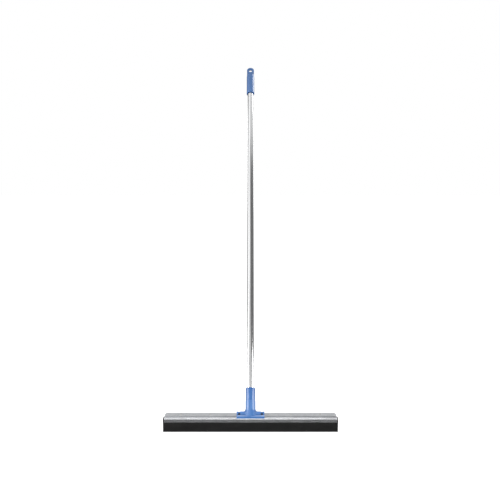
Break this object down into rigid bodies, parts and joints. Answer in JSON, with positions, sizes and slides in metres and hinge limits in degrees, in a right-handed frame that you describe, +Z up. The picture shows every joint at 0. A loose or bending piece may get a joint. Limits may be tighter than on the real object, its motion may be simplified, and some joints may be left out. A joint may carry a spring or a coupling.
{
  "type": "floor squeegee",
  "caption": "Floor squeegee: twin-lip rubber blade in a bent metal frame, moulded bracket with a leaning socket, and a screw-in tube handle with a grip and a swivelling hanging eye.",
  "frame": {"origin": "middle of the front lip's wiping edge, on the floor", "axes": "+X along the blade, +Y the side the handle leans to, +Z up from the floor"},
  "size_m": [0.55, 0.8894, 1.2819],
  "materials": {
    "frame_metal": "satin, zinc plated",
    "lip_rubber": "matt rubber",
    "core_rubber": "matt",
    "blue_moulding": "satin moulded",
    "ferrule_moulding": "satin moulded",
    "black_bolt": "black oxide",
    "zinc_fastener": "bright zinc",
    "tube_metal": "drawn, bright"
  },
  "bodies": {
    "head": {"front_channel": "frame_metal", "rear_plate": "frame_metal", "frame_rivets": "zinc_fastener", "blade_front": "lip_rubber", "blade_rear": "lip_rubber", "blade_core": "core_rubber", "bracket": "blue_moulding", "bracket_bolts": "black_bolt", "bolt_washers": "zinc_fastener", "bracket_nuts": "zinc_fastener"},
    "handle": {"handle_tube": "tube_metal", "ferrule": "ferrule_moulding", "ferrule_pin": "zinc_fastener", "grip": "blue_moulding"},
    "eye": {"hanging_eye": "blue_moulding", "eye_washer": "zinc_fastener", "eye_screw": "zinc_fastener"}
  },
  "joints": [
    {"name": "handle_pull_out", "type": "slide", "parent": "head", "child": "handle", "axis": [0, 0.5736, 0.8192], "range_m": [0, 0.034]},
    {"name": "eye_swivel", "type": "hinge", "parent": "handle", "child": "eye", "pos_m": [0, 0.85169, 1.23768], "axis": [0, 0.5736, 0.8192], "continuous": true}
  ]
}
